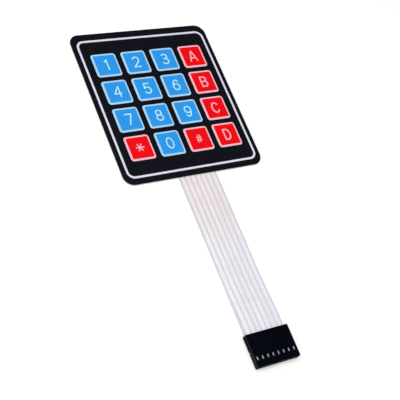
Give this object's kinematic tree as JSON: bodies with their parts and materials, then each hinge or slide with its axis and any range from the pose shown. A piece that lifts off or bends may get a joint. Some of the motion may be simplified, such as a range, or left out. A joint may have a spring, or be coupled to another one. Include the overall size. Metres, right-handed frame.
{
  "type": "membrane keypad",
  "caption": "Thin flat membrane keypad with coloured square keys, a clear flexible tail and a one-row female connector, for entering codes.",
  "frame": {"origin": "middle of the panel's back face, on the release liner", "axes": "+X to the right of the legends, +Y up the legends, +Z out of the printed face; the tail runs along -Y"},
  "size_m": [0.0692, 0.1649, 0.0026],
  "materials": {
    "liner_paper": "smooth siliconed paper",
    "adhesive_sheet": "clear acrylic adhesive",
    "circuit_film": "clear polyester film, milky over a pale ground",
    "silver_ink": "screen-printed silver ink, satin",
    "silver_paste": "cured conductive paste",
    "spacer_film": "clear film with adhesive on both faces",
    "black_ink": "screen-printed ink behind the film",
    "blue_ink": "screen-printed ink behind the film",
    "red_ink": "screen-printed ink behind the film",
    "white_ink": "screen-printed ink behind the film, a little thin over the key colours",
    "overlay_film": "clear polyester film, fine satin texture",
    "cover_film": "clear film",
    "black_nylon": "moulded, satin",
    "tinned_contact": "tin-plated bronze strip, satin"
  },
  "bodies": {
    "root": {"release_liner": "liner_paper", "rear_adhesive": "adhesive_sheet", "lower_circuit_film": "circuit_film", "row_traces": "silver_ink", "column_leads": "silver_ink", "spacer": "spacer_film", "transfer_dots": "silver_paste", "upper_circuit_film": "circuit_film", "column_traces": "silver_ink", "overlay_adhesive": "adhesive_sheet", "black_print": "black_ink", "blue_key_print": "blue_ink", "red_key_print": "red_ink", "white_line_print": "white_ink", "legend_print": "white_ink", "graphic_overlay": "overlay_film", "tail_cover_film": "cover_film", "connector_housing": "black_nylon", "contact_1": "tinned_contact", "contact_2": "tinned_contact", "contact_3": "tinned_contact", "contact_4": "tinned_contact", "contact_5": "tinned_contact", "contact_6": "tinned_contact", "contact_7": "tinned_contact", "contact_8": "tinned_contact"}
  },
  "joints": []
}
